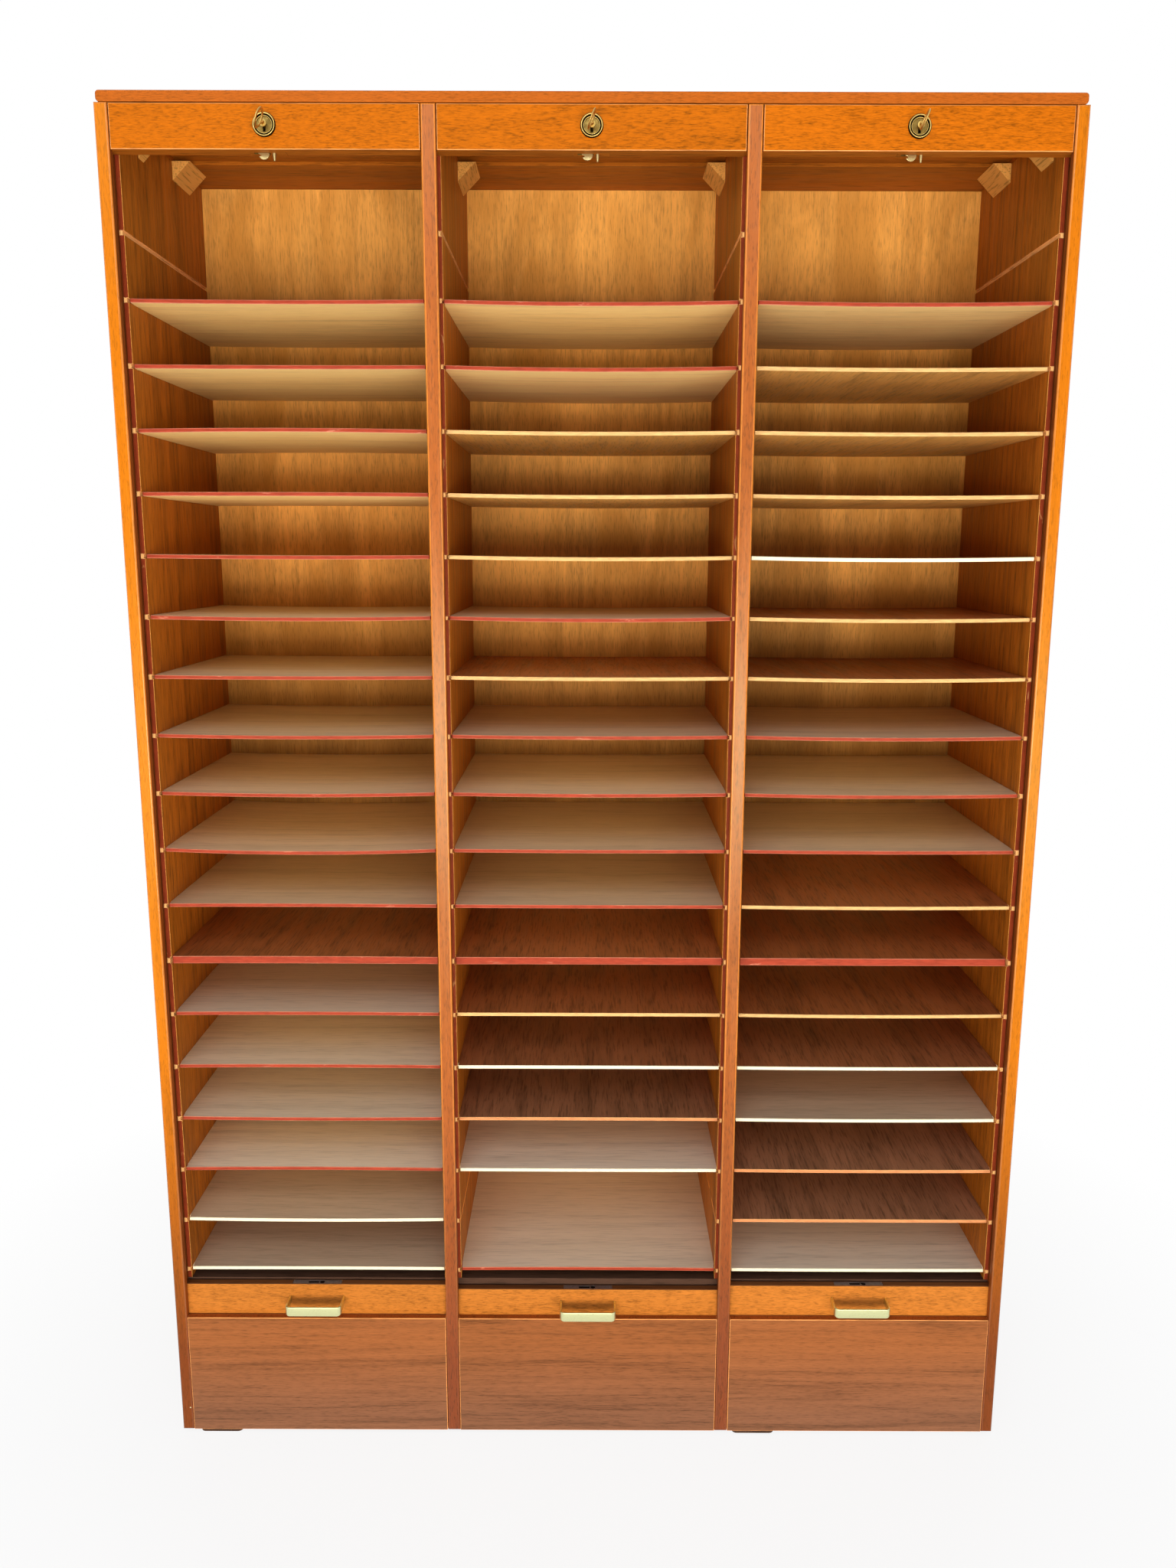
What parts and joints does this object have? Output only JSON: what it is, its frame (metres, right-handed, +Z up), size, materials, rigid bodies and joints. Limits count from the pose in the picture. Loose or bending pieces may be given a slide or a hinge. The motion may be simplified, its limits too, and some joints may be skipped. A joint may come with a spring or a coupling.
{
  "type": "roll-front filing cabinet",
  "caption": "Tall wooden filing cabinet with thin paper shelves in open columns, slatted fronts that pull up to lock, strip handles and a keyed lock in each top rail.",
  "frame": {"origin": "centre of the overall box, keys and handles included, at floor level", "axes": "+X to the right seen from the front, +Y to the back, +Z up"},
  "size_m": [1.2, 0.4164, 1.829],
  "materials": {
    "sapele": "satin varnish",
    "mahogany": "satin varnish",
    "lining": "satin varnish",
    "birch": "matt plywood, painted edges",
    "plywood": "matt plywood",
    "dark_wood": "dark stained",
    "tambour": "satin slats on canvas",
    "brass": "antique, worn",
    "steel": "dull",
    "champagne": "anodised, satin"
  },
  "bodies": {
    "case": {"top_board": "sapele", "base_board": "mahogany", "side_left": "sapele", "side_right": "sapele", "partition_left": "sapele", "partition_right": "sapele", "back_sheet": "plywood", "foot_front_left": "dark_wood", "foot_front_right": "dark_wood", "foot_rear_left": "dark_wood", "foot_rear_right": "dark_wood", "glue_block_left": "birch", "glue_block_middle_left": "birch", "glue_block_middle_right": "birch", "glue_block_right": "birch", "fascia_left": "mahogany", "deck_left": "dark_wood", "inner_back_left": "plywood", "top_rail_left": "sapele", "lining_shelved_left": "birch", "lining_slotted_left": "lining", "fixed_shelf_left": "mahogany", "lock_case_left": "steel", "lock_rose_left": "brass", "curtain_left": "tambour", "fascia_middle": "mahogany", "deck_middle": "dark_wood", "inner_back_middle": "plywood", "top_rail_middle": "sapele", "lining_shelved_middle": "birch", "lining_slotted_middle": "lining", "fixed_shelf_middle": "mahogany", "lock_case_middle": "steel", "lock_rose_middle": "brass", "curtain_middle": "tambour", "fascia_right": "mahogany", "deck_right": "dark_wood", "inner_back_right": "plywood", "top_rail_right": "sapele", "lining_shelved_right": "birch", "lining_slotted_right": "lining", "fixed_shelf_right": "mahogany", "lock_case_right": "steel", "lock_rose_right": "brass", "curtain_right": "tambour"},
    "lead_left": {"lead_rail_left": "sapele", "strike_plate_left": "steel", "handle_left": "champagne"},
    "turning_key_left": {"key_left": "brass"},
    "hook_left": {"hook_bolt_left": "brass"},
    "lead_middle": {"lead_rail_middle": "sapele", "strike_plate_middle": "steel", "handle_middle": "champagne"},
    "turning_key_middle": {"key_middle": "brass"},
    "hook_middle": {"hook_bolt_middle": "brass"},
    "lead_right": {"lead_rail_right": "sapele", "strike_plate_right": "steel", "handle_right": "champagne"},
    "turning_key_right": {"key_right": "brass"},
    "hook_right": {"hook_bolt_right": "brass"}
  },
  "joints": [
    {"name": "curtain_slide_left", "type": "slide", "parent": "case", "child": "lead_left", "axis": [0, 0, 1], "range_m": [0, 1.526], "deforming": ["curtain_left"]},
    {"name": "key_turn_left", "type": "hinge", "parent": "case", "child": "turning_key_left", "pos_m": [-0.39533, -0.17175, 1.7908], "axis": [0, 1, 0], "range_deg": [0, 90]},
    {"name": "hook_swing_left", "type": "hinge", "parent": "case", "child": "hook_left", "pos_m": [-0.40063, -0.15535, 1.7774], "axis": [0, 1, 0], "range_deg": [0, 14]},
    {"name": "curtain_slide_middle", "type": "slide", "parent": "case", "child": "lead_middle", "axis": [0, 0, 1], "range_m": [0, 1.533], "deforming": ["curtain_middle"]},
    {"name": "key_turn_middle", "type": "hinge", "parent": "case", "child": "turning_key_middle", "pos_m": [0, -0.17175, 1.7908], "axis": [0, 1, 0], "range_deg": [0, 90]},
    {"name": "hook_swing_middle", "type": "hinge", "parent": "case", "child": "hook_middle", "pos_m": [-0.0053, -0.15535, 1.7774], "axis": [0, 1, 0], "range_deg": [0, 14]},
    {"name": "curtain_slide_right", "type": "slide", "parent": "case", "child": "lead_right", "axis": [0, 0, 1], "range_m": [0, 1.526], "deforming": ["curtain_right"]},
    {"name": "key_turn_right", "type": "hinge", "parent": "case", "child": "turning_key_right", "pos_m": [0.39533, -0.17175, 1.7908], "axis": [0, 1, 0], "range_deg": [0, 90]},
    {"name": "hook_swing_right", "type": "hinge", "parent": "case", "child": "hook_right", "pos_m": [0.39003, -0.15535, 1.7774], "axis": [0, 1, 0], "range_deg": [0, 14]}
  ],
  "couplings": [
    {"joint": "hook_swing_left", "follows": "key_turn_left", "ratio": 0.1555},
    {"joint": "hook_swing_middle", "follows": "key_turn_middle", "ratio": 0.1555},
    {"joint": "hook_swing_right", "follows": "key_turn_right", "ratio": 0.1555}
  ]
}
